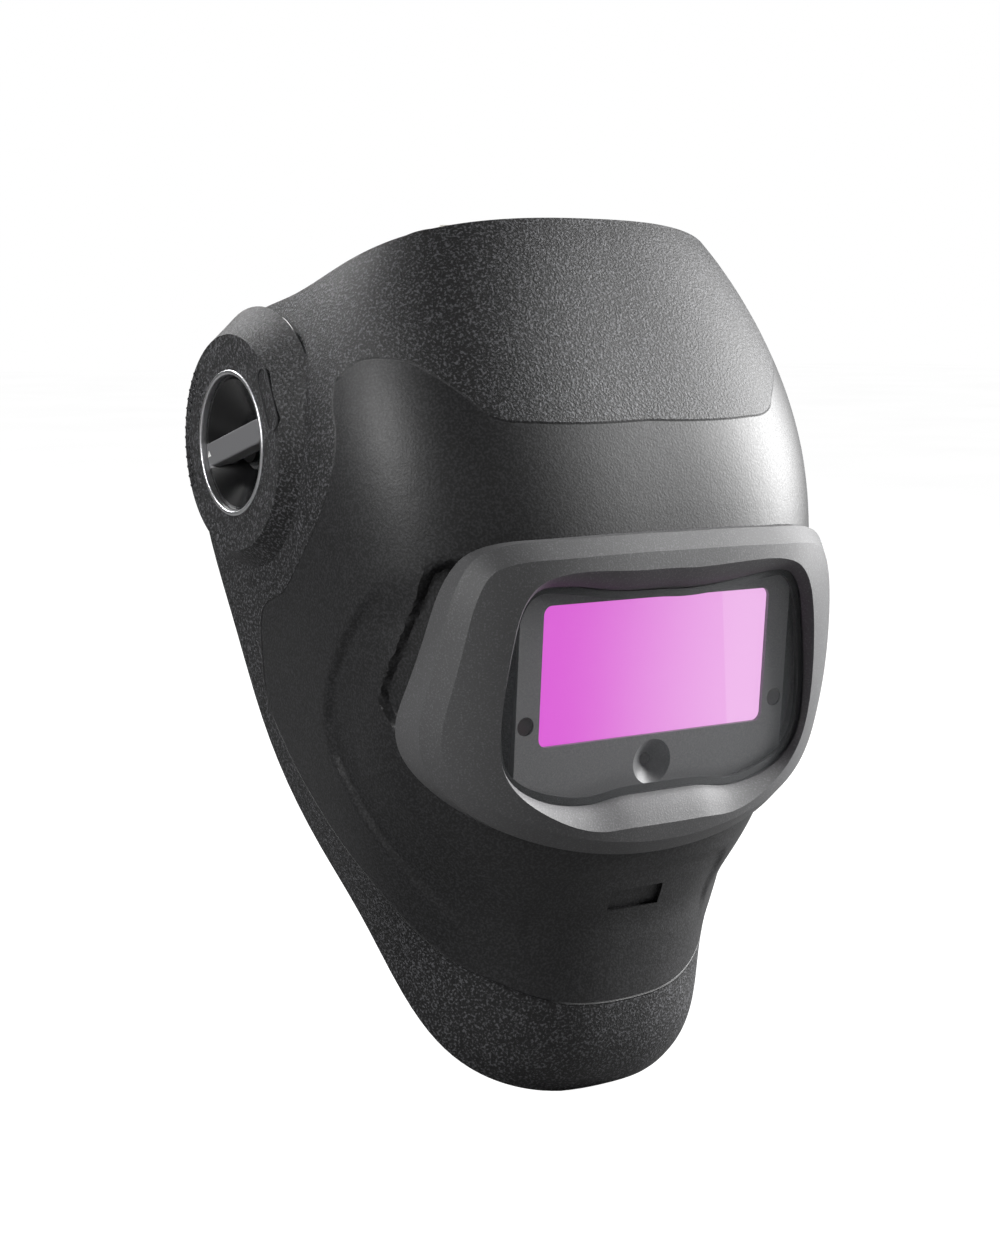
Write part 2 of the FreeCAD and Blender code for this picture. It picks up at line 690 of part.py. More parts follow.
def make_carrier():
    """Pivot disc on a block that slides along the headband's side rail."""
    disc = cylinder_x(size("disc_radius"), disc_in, disc_out)
    long, half = CARRIER_LONG, CARRIER_HALF
    block = Part.makeBox(disc_in + 0.5 - 86.5, long, 2 * half,
                         Vec(-(disc_in + 0.5), -long / 2, -half))
    edges = [e for e in block.Edges if abs(e.tangentAt(0).x) > 0.99]
    block = block.makeFillet(4.0, edges)
    channel = Part.makeBox(RAIL_OUT + gap - 70, long + 2, 2 * (RAIL_HALF + gap),
                           Vec(-(RAIL_OUT + gap), -long / 2 - 1, -RAIL_HALF - gap))
    head_seat = Part.makeBox(3.6, 13.2, 13.2, Vec(-(disc_in + 3.3), -6.6, -6.6))
    body = disc.fuse(block).cut(channel).cut(head_seat)
    return body.cut(cylinder_x(size("bolt_radius") + 0.1, 60, 140)).removeSplitter()


carrier_right = feature("pivot_carrier_right", make_carrier())
mirrored(carrier_right, "pivot_carrier_left")


# ---------------------------------------------------------------- headband
def head_loop(grow, low, high):
    """An egg-shaped cylinder: half an ellipse ahead of the band centre, half a circle behind."""
    half, ahead = size("band_half") + grow, size("band_front") + grow
    back = size("band_back")
    centre = Vec(0, back, low)
    ellipse = Part.Ellipse(centre + Vec(0, -ahead, 0), centre + Vec(half, 0, 0), centre)
    left, right, rear = centre + Vec(half, 0, 0), centre - Vec(half, 0, 0), centre + Vec(0, half, 0)
    behind = Part.Arc(left, rear, right).toShape()
    before = Part.Arc(ellipse, -math.pi / 2, math.pi / 2).toShape()
    wire = Part.Wire(Part.__sortEdges__([behind, before]))
    return Part.Face(wire).extrude(UP * (high - low))


def loop_band(outer, inner, low, high):
    return head_loop(outer, low, high).cut(head_loop(inner, low - 1, high + 1))


def side_profile(points):
    """A prism right across the object of a polygon seen from the side, as (y, z)."""
    return prism([Vec(0, y, z) for y, z in points], SIDEWAYS, -200, 200)


CROSS_Y = 8.0  # front edge of the strap that crosses the head
LAP = 1.2  # rise of the long strap over the cross strap, to clear its curve
STUD_HEAD = 1.2
tab_front = size("band_back") + size("band_half")  # face of the tab behind the head
strap_wide, strap_thick, strap_top = size("strap_wide"), size("strap_thick"), size("strap_top")
STUDS = [
    (Vec(sign * (size("band_half") + size("band_thick") + 0.05), CROSS_Y + strap_wide / 2, 12.8),
     Vec(-sign, 0, 0), size("band_thick") + strap_thick + 1.5)
    for sign in (-1, 1)
] + [
    (Vec(x, CROSS_Y + strap_wide / 2, strap_top - strap_thick - 0.6), UP, 2 * strap_thick + LAP + 0.8)
    for x in (-6, 6)
] + [
    (Vec(x, tab_front - gap - strap_thick - 0.05, 29.0), REARWARD, strap_thick + gap + 2.5)
    for x in (-7, 7)
]


def stud(at, along, long):
    """A two-part strap stud: shank with a low head at each end."""
    body = Part.makeCylinder(1.5, long, at, along)
    for base in (at - along * STUD_HEAD, at + along * long):
        body = body.fuse(Part.makeCylinder(3.0, STUD_HEAD, base, along))
    return body


def without_stud_holes(shape):
    for at, along, long in STUDS:
        shape = shape.cut(Part.makeCylinder(1.6, long + 2, at - along, along))
    return shape


def make_headband():
    low, high = size("band_low"), size("band_high")
    body = loop_band(size("band_thick"), 0, -low - 10, high + 10)
    outline = [
        (-110, 0), (-60, -1), (-20, -low), (52, -low),
        (52, 16), (-10, 17), (-50, high), (-110, high),
    ]
    return without_stud_holes(body.common(side_profile(outline)))


headband = feature("headband", make_headband())


def make_rail():
    body = Part.makeBox(RAIL_OUT - RAIL_IN, 66, 2 * RAIL_HALF, Vec(-RAIL_OUT, -26, -RAIL_HALF))
    for k in range(6):
        notch = Part.makeBox(2, 2.4, 5, Vec(-RAIL_OUT - 0.8, -20 + 8 * k, -2.5))
        body = body.cut(notch)
    return body.cut(head_loop(size("band_thick") + 0.02, -20, 20))


rail_right = feature("side_rail_right", make_rail())
mirrored(rail_right, "side_rail_left")


def sweat_pad():
    body = loop_band(-0.3, -8.0, 0, size("band_high") + 1)
    return body.common(side_profile([(-110, 0), (-52, -0.5), (-52, 40), (-110, 40)]))


feature("sweatband", sweat_pad())

# ---------------------------------------------------------------- size adjuster at the back
band_centre = Vec(0, size("band_back"), 0)
tongue_outer = size("band_half") - gap
tongue_inner = tongue_outer - size("tongue_thick")
tongue_middle = (tongue_outer + tongue_inner) / 2
pitch_radius = size("pinion_pitch")
teeth = int(size("pinion_teeth"))
tooth_pitch = 2 * math.pi * pitch_radius / teeth
TOOTH_TALL = 0.7
BACKLASH = 0.4


def arc_plate(inner, outer, start, end, low, high):
    """A curved plate about the band centre, from start to end degrees from straight back."""
    ring = Part.makeCylinder(outer, high - low, band_centre + Vec(0, 0, low), UP, 360)
    ring = ring.cut(Part.makeCylinder(inner, high - low, band_centre + Vec(0, 0, low)))
    far = outer * 3
    steps = max(2, int(abs(end - start) / 40) + 1)
    points = [band_centre + Vec(0, 0, low)]
    for k in range(steps + 1):
        angle = math.radians(start + (end - start) * k / steps)
        points.append(band_centre + Vec(far * math.sin(angle), far * math.cos(angle), low))
    return ring.common(prism_at(points, UP, high - low))


def prism_at(points, axis, length):
    return Part.Face(Part.makePolygon(points + [points[0]])).extrude(axis * length)


def make_tongue(upper):
    """A rack tongue: wide at the side of the head, a toothed bar across the back."""
    bar_low, bar_high = pitch_radius + 1.3, 11.0
    body = arc_plate(tongue_inner, tongue_outer, -98, -40, -8.5, 8.5)
    body = body.fuse(arc_plate(tongue_inner, tongue_outer, -41, 12, bar_low, bar_high))
    step = arc_plate(tongue_inner, tongue_outer, -50, -39, 5.0, bar_high)
    body = body.fuse(step)
    count = 12
    for k in range(-count, 3):
        body = body.fuse(rack_tooth(tooth_pitch * (k + 0.5), bar_low))
    body = body.removeSplitter()
    if not upper:
        body = flip(body).mirror(ORIGIN, UP)
    return body


def rack_tooth(along, root):
    """One trapezoid tooth that points down from the upper bar, centred along the arc."""
    tip = pitch_radius - TOOTH_TALL
    slope = math.tan(math.radians(20))
    half = tooth_pitch / 4 - BACKLASH / 4
    root_half = half + slope * (root - pitch_radius)
    tip_half = half - slope * TOOTH_TALL
    outline = [(-root_half, root + 0.3), (-tip_half, tip), (tip_half, tip), (root_half, root + 0.3)]
    points = [Vec(x, tongue_inner, z) for x, z in outline]
    tooth = prism_at(points, REARWARD, size("tongue_thick"))
    tooth.translate(band_centre)
    return tooth.rotated(band_centre, UP, -math.degrees(along / tongue_middle))


feature("rack_tongue_right", make_tongue(True))
feature("rack_tongue_left", make_tongue(False))


def make_pinion():
    """Straight-toothed pinion on its shaft, which runs back into the dial."""
    root, tip = pitch_radius - TOOTH_TALL - 0.35, pitch_radius + TOOTH_TALL
    slope = math.tan(math.radians(20))
    back = band_centre.y + tongue_inner
    outline = []
    for k in range(teeth):
        middle = 2 * math.pi * k / teeth
        half = tooth_pitch / 4 - BACKLASH / 4
        for radius, widen in ((root, 1), (tip, 1)):
            width = half - slope * (radius - pitch_radius) * widen
            outline.append((middle - width / radius, radius))
        for radius in (tip, root):
            width = half - slope * (radius - pitch_radius)
            outline.append((middle + width / radius, radius))
    points = [Vec(r * math.sin(a), back, r * math.cos(a)) for a, r in outline]
    gear = prism_at(points, REARWARD, size("tongue_thick"))
    shaft = Part.makeCylinder(2.4, 2.2, Vec(0, back - 2.2, 0), REARWARD)
    drive = Part.makeCylinder(3.0, SHAFT_OUT, Vec(0, back + size("tongue_thick"), 0), REARWARD)
    return gear.fuse(shaft).fuse(drive).removeSplitter()


SHAFT_OUT = 12.0
feature("pinion", make_pinion())

half_high, span = size("cradle_high"), size("cradle_span")
plate_out = tongue_inner - gap
plate_in = plate_out - 2.0
cover_in = tongue_outer + gap
cover_out = cover_in + 2.4


def make_cradle():
    body = arc_plate(plate_in, plate_out, -span, span, -half_high, half_high)
    return body.cut(Part.makeCylinder(2.5, 200, band_centre, REARWARD))


def make_cradle_cover():
    body = arc_plate(cover_in, cover_out, -span, span, -half_high, half_high)
    for low, high in ((half_high - 2.2, half_high), (-half_high, -half_high + 2.2)):
        body = body.fuse(arc_plate(plate_out + 0.02, cover_in + 0.01, -span, span, low, high))
    tab = Part.makeBox(26, 2.4, 36 - half_high + 2, Vec(-13, tab_front, half_high - 2))
    edges = [e for e in tab.Edges if abs(e.tangentAt(0).y) > 0.99 and e.CenterOfMass.z > 30]
    body = body.fuse(tab.makeFillet(5.0, edges) if edges else tab)
    collar = Part.makeCylinder(7.0, 4.2, Vec(0, band_centre.y + cover_out - 2.0, 0), REARWARD)
    body = body.fuse(collar).cut(Part.makeCylinder(3.06, 200, band_centre, REARWARD))
    return without_stud_holes(body.removeSplitter())


feature("rear_cradle", make_cradle())
feature("cradle_cover", make_cradle_cover())


def make_dial():
    """Fluted size dial with a blind socket for the pinion shaft."""
    base = band_centre.y + cover_out + 2.4
    radius, depth = size("dial_radius"), size("dial_depth")
    body = Part.makeCylinder(radius, depth, Vec(0, base, 0), REARWARD)
    rims = [e for e in body.Edges if e.Closed]
    outer = max(rims, key=lambda e: e.CenterOfMass.y)
    body = body.makeFillet(2.5, [outer])
    flutes = 18
    for k in range(flutes):
        angle = 2 * math.pi * k / flutes
        at = Vec((radius + 1.3) * math.sin(angle), base + 2.5, (radius + 1.3) * math.cos(angle))
        body = body.cut(Part.makeCylinder(2.4, depth, at, REARWARD))
    body = body.cut(Part.makeCylinder(3.03, shaft_end - base + 0.2, Vec(0, base, 0), REARWARD))
    return body


shaft_end = band_centre.y + tongue_outer + SHAFT_OUT
feature("size_dial", make_dial())


def make_dial_washer():
    base = band_centre.y + cover_out + 0.2
    body = Part.makeCylinder(12.0, 2.0, Vec(0, base, 0), REARWARD)
    return body.cut(Part.makeCylinder(7.3, 9.0, Vec(0, base - 2, 0), REARWARD))


feature("dial_washer", make_dial_washer())

# ---------------------------------------------------------------- rear pad and crown straps
PAD_DEEP = 7.0
rear_pad = arc_plate(plate_in - PAD_DEEP, plate_in - 0.3, 2 - span, span - 2, 2 - half_high, half_high - 2)
feature("rear_pad", rear_pad)

STRAP_FOOT = 9.2  # lower end of the cross strap, above the tongues


def arch_face(half, spring, rise, foot):
    """A half ellipse on straight legs, in the XZ plane: legs from foot up to spring."""
    steps = 24
    points = [
        Vec(half * math.cos(math.pi * k / steps), 0, spring + rise * math.sin(math.pi * k / steps))
        for k in range(steps + 1)
    ]
    curve = Part.BSplineCurve()
    curve.interpolate(points, InitialTangent=UP, FinalTangent=-UP)
    base = [points[-1], Vec(-half, 0, foot), Vec(half, 0, foot), points[0]]
    legs = [Part.makeLine(a, b) for a, b in zip(base, base[1:])]
    return Part.Face(Part.Wire([curve.toShape()] + legs))


def make_cross_strap():
    """The strap over the head from side to side."""
    outer = size("band_half") - 1.3
    spring = 16.0
    rise = strap_top - spring
    solid = arch_face(outer, spring, rise, STRAP_FOOT).extrude(REARWARD * strap_wide)
    room = arch_face(outer - strap_thick, spring, rise - strap_thick, STRAP_FOOT - 14)
    room.translate(-REARWARD)
    return solid.cut(room.extrude(REARWARD * (strap_wide + 2))).translated(Vec(0, CROSS_Y, 0))


def make_long_strap():
    """The strap from the crown back and down to the cradle's tab."""
    middle = CROSS_Y + strap_wide / 2
    reach = tab_front - gap - middle
    spring = 36.0
    rise = strap_top + strap_thick + LAP - spring
    face = arch_face(reach, spring, rise, spring - 14)
    room = arch_face(reach - strap_thick, spring, rise - strap_thick, spring - 16)
    room.translate(-REARWARD)
    wide = strap_wide
    solid = face.extrude(REARWARD * wide).cut(room.extrude(REARWARD * (wide + 2)))
    solid.rotate(ORIGIN, UP, 90)
    solid.translate(Vec(wide / 2, middle, 0))
    keep_box = Part.makeBox(200, 200, 200, Vec(-100, CROSS_Y - 3, -20))
    return solid.common(keep_box)


feature("crown_strap_cross", without_stud_holes(make_cross_strap()))
feature("crown_strap_rear", without_stud_holes(make_long_strap()))
feature("crown_studs", Part.makeCompound([stud(*place_of) for place_of in STUDS]))


# ---------------------------------------------------------------- checks and export
doc.recompute()
faults = []
for obj in doc.Objects:
    if any(state in ("Invalid", "Error") for state in obj.State):
        faults.append(f"{obj.Label}: {obj.State}")
for obj in subparts:
    if obj.Shape.isNull() or not obj.Shape.isValid() or not obj.Shape.Solids:
        faults.append(f"{obj.Label}: bad shape")
if faults:
    raise RuntimeError("; ".join(faults))
os.makedirs("parts", exist_ok=True)
for obj in subparts:
    obj.Shape.exportStep(f"parts/{obj.Label}.step")
print(len(subparts), "sub-parts written")
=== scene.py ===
# Auto-darkening welding helmet: finishes, soft pieces, small marks, light and camera.
import math

import bpy
from mathutils import Matrix, Vector


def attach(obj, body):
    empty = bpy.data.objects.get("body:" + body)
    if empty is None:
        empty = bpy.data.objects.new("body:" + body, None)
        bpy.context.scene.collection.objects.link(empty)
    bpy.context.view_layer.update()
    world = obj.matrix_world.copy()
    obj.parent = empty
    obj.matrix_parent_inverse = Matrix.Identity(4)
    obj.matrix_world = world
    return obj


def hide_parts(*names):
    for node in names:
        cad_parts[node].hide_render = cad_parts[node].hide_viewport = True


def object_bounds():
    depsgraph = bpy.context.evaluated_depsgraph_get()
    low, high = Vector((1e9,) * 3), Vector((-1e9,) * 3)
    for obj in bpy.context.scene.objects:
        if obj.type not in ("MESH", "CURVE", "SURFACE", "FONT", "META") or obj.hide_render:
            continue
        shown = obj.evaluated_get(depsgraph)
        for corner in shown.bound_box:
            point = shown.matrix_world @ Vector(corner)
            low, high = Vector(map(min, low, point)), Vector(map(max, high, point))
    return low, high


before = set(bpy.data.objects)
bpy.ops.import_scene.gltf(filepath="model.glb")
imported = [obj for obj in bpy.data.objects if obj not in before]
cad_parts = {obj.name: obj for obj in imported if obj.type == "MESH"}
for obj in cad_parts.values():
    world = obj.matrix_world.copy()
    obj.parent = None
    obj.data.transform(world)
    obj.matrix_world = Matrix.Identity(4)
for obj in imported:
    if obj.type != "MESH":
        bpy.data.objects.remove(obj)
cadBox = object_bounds()
bpy.ops.object.select_all(action="DESELECT")
print("frame loaded")


def linear(hexColour, alpha=1.0):
    # sRGB hex to linear
    parts = [int(hexColour[i:i + 2], 16) / 255 for i in (0, 2, 4)]
    return tuple(c / 12.92 if c <= 0.04045 else ((c + 0.055) / 1.055) ** 2.4 for c in parts) + (alpha,)


def addNode(tree, kind, inputs=None, **settings):
    # one node with its settings; an input is a value or another node's output
    node = tree.nodes.new(kind)
    for key, value in settings.items():
        setattr(node, key, value)
    for key, value in (inputs or {}).items():
        if isinstance(value, bpy.types.NodeSocket):
            tree.links.new(value, node.inputs[key])
        else:
            node.inputs[key].default_value = value
    return node


def startMaterial(name, **shader):
    material = bpy.data.materials.new(name)
    material.use_nodes = True
    tree = material.node_tree
    bsdf = tree.nodes["Principled BSDF"]
    for key, value in shader.items():
        bsdf.inputs[key.replace("_", " ")].default_value = value
    place = addNode(tree, "ShaderNodeTexCoord").outputs["Object"]
    return material, tree, bsdf, place


# vertices of the CAD meshes that are closer than this, in metres, are one
mergeWithin = 0.00002


def perMetre(millimetres):
    # texture scale whose features are about that big
    return 1000 / millimetres


def dress(material, *nodes):
    for name in nodes:
        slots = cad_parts[name].data.materials
        slots.clear()
        slots.append(material)


def colourRamp(tree, factor, low, high):
    # mixes two colours by a 0 to 1 factor
    mix = addNode(tree, "ShaderNodeMix", {"Factor": factor}, data_type="RGBA")
    mix.inputs["A"].default_value = low
    mix.inputs["B"].default_value = high
    return mix.outputs["Result"]


def ramp(tree, value, fromLow, fromHigh, toLow=0.0, toHigh=1.0, smooth=True):
    node = addNode(tree, "ShaderNodeMapRange", {
        "Value": value, "From Min": fromLow, "From Max": fromHigh, "To Min": toLow, "To Max": toHigh})
    node.interpolation_type = "SMOOTHSTEP" if smooth else "LINEAR"
    return node.outputs["Result"]


def sums(tree, kind, a, b=0.0, c=0.0):
    return addNode(tree, "ShaderNodeMath", {0: a, 1: b, 2: c}, operation=kind).outputs[0]


def edgeCurve(tree, value, points, domain, reach):
    # a smooth line through measured points: value runs over domain, the result over reach
    share = ramp(tree, value, domain[0], domain[1], smooth=False)
    node = addNode(tree, "ShaderNodeFloatCurve", {"Value": share})
    curve = node.mapping.curves[0]
    span, rise = domain[1] - domain[0], reach[1] - reach[0]
    pairs = [((p - domain[0]) / span, (q - reach[0]) / rise) for p, q in points]
    curve.points[0].location = pairs[0]
    curve.points[1].location = pairs[-1]
    for pair in pairs[1:-1]:
        curve.points.new(*pair)
    node.mapping.update()
    return ramp(tree, node.outputs[0], 0, 1, reach[0], reach[1], smooth=False)


# the shell: black nylon out of one mould, coarse spark-eroded grain next to fine satin areas
shellLook = dict(
    black="0c0c0d", speck="565659", satinBlack="101011",
    grainMm=1.0, satinMm=0.9, speckAt=(0.48, 0.66), satinSpeck="2c2c2e", satinSpeckAt=(0.4, 0.7),
    roughGrain=0.60, roughSatin=0.52, glossShift=0.12,
    borderHalf=0.0006, lineHalf=0.0012, lineFade=(-0.055, -0.075),
    # heights in metres: both grains, the step down to satin, the jaw's edge line
    grainDeep=0.00030, satinDeep=0.00007, stepDown=0.00035, lineHigh=0.0006,
    zSpan=(-0.262, 0.1), ySpan=(-0.15, 0.05), sideSpan=(0, 0.12), crownSpan=(0, 0.05),
    # rear edge of the satin side panel and jaw line, as z and y in metres
    jawLine=[(-0.262, -0.139), (-0.222, -0.118), (-0.2165, -0.1095), (-0.208, -0.097), (-0.195, -0.0748),
             (-0.1716, -0.053), (-0.1467, -0.0298), (-0.1228, -0.0111), (-0.105, -0.0022), (-0.084, -0.0027),
             (-0.068, -0.0067), (-0.057, -0.0277), (-0.042, -0.0447), (-0.025, -0.060), (-0.0096, -0.068),
             (0.0054, -0.069), (0.020, -0.0636), (0.0274, -0.0626), (0.10, -0.060)],
    # lower edge of the grained crown, as distance from the middle and z
    crownLine=[(0.0, 0.0135), (0.050, 0.0135), (0.064, 0.0150), (0.0716, 0.0215), (0.082, 0.031),
               (0.089, 0.0355), (0.0956, 0.0359), (0.1006, 0.0327), (0.104, 0.0274), (0.120, 0.0200)],
    # soft ridge that runs down the cheek, as z and y
    cheekLine=[(-0.262, -0.120), (-0.190, -0.092), (-0.162, -0.0752), (-0.1416, -0.0624), (-0.1193, -0.0504),
               (-0.105, -0.0495), (-0.088, -0.0559), (-0.070, -0.0688), (-0.0575, -0.0796), (-0.047, -0.0891),
               (-0.030, -0.110), (0.100, -0.150)],
)


def mouldedShell():
    look = shellLook
    material, tree, bsdf, place = startMaterial("mouldedNylonShell", Roughness=0.5, IOR=1.53)
    xyz = addNode(tree, "ShaderNodeSeparateXYZ", {0: place}).outputs
    side = sums(tree, "ABSOLUTE", xyz["X"])
    # metres ahead of the jaw line and below the crown line; satin is where both are positive
    jawY = edgeCurve(tree, xyz["Z"], look["jawLine"], look["zSpan"], look["ySpan"])
    jaw = sums(tree, "SUBTRACT", jawY, xyz["Y"])
    crownZ = edgeCurve(tree, side, look["crownLine"], look["sideSpan"], look["crownSpan"])
    crown = sums(tree, "SUBTRACT", crownZ, xyz["Z"])
    border = look["borderHalf"]
    satin = sums(tree, "MULTIPLY", ramp(tree, jaw, -border, border), ramp(tree, crown, -border, border))

    # spark-eroded grain: rounded specks with lighter tops, drawn coarser than real so that they show
    grain = addNode(tree, "ShaderNodeTexNoise", {
        "Vector": place, "Scale": perMetre(look["grainMm"]), "Detail": 3.0, "Roughness": 0.6}).outputs["Fac"]
    fine = addNode(tree, "ShaderNodeTexNoise", {
        "Vector": place, "Scale": perMetre(look["satinMm"]), "Detail": 1.0}).outputs["Fac"]
    speck = ramp(tree, grain, *look["speckAt"])
    rough = colourRamp(tree, speck, linear(look["black"]), linear(look["speck"]))
    satinSpeck = ramp(tree, fine, *look["satinSpeckAt"])
    smoothColour = colourRamp(tree, satinSpeck, linear(look["satinBlack"]), linear(look["satinSpeck"]))
    colour = addNode(tree, "ShaderNodeMix", {"Factor": satin}, data_type="RGBA")
    tree.links.new(rough, colour.inputs["A"])
    tree.links.new(smoothColour, colour.inputs["B"])
    tree.links.new(colour.outputs["Result"], bsdf.inputs["Base Color"])
    # the grain's tops and hollows shift the roughness a little either way
    gloss = ramp(tree, satin, 0, 1, look["roughGrain"], look["roughSatin"], smooth=False)
    gloss = sums(tree, "SUBTRACT", gloss, look["glossShift"] / 2)
    gloss = sums(tree, "MULTIPLY_ADD", grain, look["glossShift"], gloss)
    tree.links.new(gloss, bsdf.inputs["Roughness"])

    grained = sums(tree, "SUBTRACT", 1.0, satin)
    height = sums(tree, "MULTIPLY", sums(tree, "MULTIPLY", grain, grained), look["grainDeep"])
    height = sums(tree, "MULTIPLY_ADD", fine, look["satinDeep"], height)
    height = sums(tree, "MULTIPLY_ADD", satin, -look["stepDown"], height)
    jawWay = ramp(tree, xyz["Z"], *look["lineFade"])
    nearJaw = ramp(tree, sums(tree, "ABSOLUTE", jaw), look["lineHalf"], 0.0)
    line = sums(tree, "MULTIPLY", nearJaw, jawWay)
    height = sums(tree, "MULTIPLY_ADD", line, look["lineHigh"], height)
    bump = addNode(tree, "ShaderNodeBump", {"Height": height, "Strength": 1.0, "Distance": 1.0})
    tree.links.new(bump.outputs["Normal"], bsdf.inputs["Normal"])
    return material


def along(value, low, high):
    # smooth 0 to 1 as value goes from low to high
    share = min(max((value - low) / (high - low), 0), 1)
    return share * share * (3 - 2 * share)


def between(points, z):
    # y of a measured line at height z
    for (z0, y0), (z1, y1) in zip(points, points[1:]):
        if z0 <= z <= z1:
            return y0 + (y1 - y0) * (z - z0) / (z1 - z0)
    return points[0][1] if z < points[0][0] else points[-1][1]


carving = dict(
    edgeMm=3.0, sharpDegrees=24, smoothing=8, middleY=0.02,
    recess=((0.0835, -0.1150, -0.0480), (0.0940, -0.0990, -0.0900)), recessReach=0.0100, recessDeep=0.0042,
    cheekDeep=0.0026, chinDeep=0.0013, chinHalf=0.0455, chinTop=-0.1600,
)


def carvedDepth(place):
    # how far the moulded form dips under the plain shell at a place, in metres
    look = carving
    side = abs(place.x)
    start, end = (Vector(p) for p in look["recess"])
    here = Vector((side, place.y, place.z))
    share = min(max((here - start).dot(end - start) / (end - start).length_squared, 0), 1)
    away = (here - start.lerp(end, share)).length
    finger = look["recessDeep"] * (1 - along(away, look["recessReach"] - 0.002, look["recessReach"] + 0.003))
    ahead = between(shellLook["cheekLine"], place.z) - place.y
    fade = along(-place.z, 0.040, 0.065) * (1 - along(-place.z, 0.165, 0.205))
    cheek = look["cheekDeep"] * along(ahead, 0.0, 0.006) * (1 - along(ahead, 0.014, 0.040)) * fade
    chin = look["chinDeep"] * (1 - along(side, look["chinHalf"] - 0.002, look["chinHalf"] + 0.002))
    chin *= along(-place.z, -look["chinTop"], -look["chinTop"] + 0.003) * (1 - along(-place.z, 0.180, 0.196))
    chin *= along(-place.y, 0.085, 0.095)
    return max(finger, cheek) + chin


def carvedShell(material):
    # the moulded shell with its finger hollows, cheek ridges and chin field in the mesh
    look = carving
    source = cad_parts["shell"]
    shell = bpy.data.objects.new("shell_moulded", source.data.copy())
    bpy.context.scene.collection.objects.link(shell)
    bpy.ops.object.select_all(action="DESELECT")
    bpy.context.view_layer.objects.active = shell
    shell.select_set(True)
    mesh = shell.data
    mesh.materials.clear()
    mesh.materials.append(material)
    bpy.ops.object.mode_set(mode="EDIT")
    bpy.ops.mesh.select_all(action="SELECT")
    bpy.ops.mesh.remove_doubles(threshold=mergeWithin)
    bpy.ops.mesh.customdata_custom_splitnormals_clear()
    bpy.ops.mesh.select_mode(type="EDGE")
    for halving in range(5):
        bpy.ops.mesh.select_all(action="DESELECT")
        bpy.ops.object.mode_set(mode="OBJECT")
        for edge in mesh.edges:
            a, b = (mesh.vertices[i].co for i in edge.vertices)
            edge.select = (a - b).length > look["edgeMm"] / 1000
        bpy.ops.object.mode_set(mode="EDIT")
        bpy.ops.mesh.subdivide(number_cuts=1, quadcorner="INNERVERT")
        bpy.ops.mesh.quads_convert_to_tris()
    bpy.ops.mesh.select_all(action="DESELECT")
    bpy.ops.mesh.edges_select_sharp(sharpness=math.radians(look["sharpDegrees"]))
    bpy.ops.object.mode_set(mode="OBJECT")
    crisp = {i for edge in mesh.edges if edge.select for i in edge.vertices}
    loose = shell.vertex_groups.new(name="loose")
    loose.add([v.index for v in mesh.vertices if v.index not in crisp], 1.0, "REPLACE")
    ease = shell.modifiers.new("ease", "SMOOTH")
    ease.iterations = look["smoothing"]
    ease.vertex_group = "loose"
    bpy.ops.object.modifier_apply(modifier="ease")
    for vertex in mesh.vertices:
        outward = Vector((vertex.co.x, vertex.co.y - look["middleY"], 0)).normalized()
        vertex.co -= outward * carvedDepth(vertex.co)
    bpy.ops.object.select_all(action="DESELECT")
    shell.select_set(True)
    bpy.ops.object.shade_smooth_by_angle(angle=math.radians(30))
    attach(shell, "shell")
    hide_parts("shell")
    print("shell carved,", len(mesh.polygons), "faces")


carvedShell(mouldedShell())


# other moulded, woven and metal finishes: colour, lighter speck, roughness, grain size and depth
finishes = dict(
    coverNylon=dict(
        colour="505051", speck="646466", rough=0.56, grainMm=0.7, depthMm=0.08, speckAt=(0.5, 0.70)),
    housingAbs=dict(
        colour="6c6c6d", speck="79797a", rough=0.42, grainMm=0.6, depthMm=0.02, speckAt=(0.4, 0.7)),
    frameNylon=dict(
        colour="232325", speck="323235", rough=0.48, grainMm=0.8, depthMm=0.05, speckAt=(0.5, 0.7)),
    bandPolypropylene=dict(
        colour="1e1e20", speck="2a2a2d", rough=0.42, grainMm=1.4, depthMm=0.03, speckAt=(0.45, 0.75)),
    dialNylon=dict(
        colour="1a1a1c", speck="2c2c30", rough=0.38, grainMm=1.0, depthMm=0.04, speckAt=(0.5, 0.7)),
    mouldedAcetal=dict(
        colour="d9d6cc", speck="e6e3da", rough=0.33, grainMm=2.0, depthMm=0.01, speckAt=(0.4, 0.7)),
    sealRubber=dict(
        colour="353536", speck="404042", rough=0.72, grainMm=0.7, depthMm=0.04, speckAt=(0.5, 0.7)),
    buttonRubber=dict(
        colour="77787b", speck="8a8b8f", rough=0.62, grainMm=0.6, depthMm=0.03, speckAt=(0.5, 0.7)),
    hardFibre=dict(
        colour="7a2a1f", speck="93402f", rough=0.66, grainMm=0.5, depthMm=0.05, speckAt=(0.4, 0.7)),
)


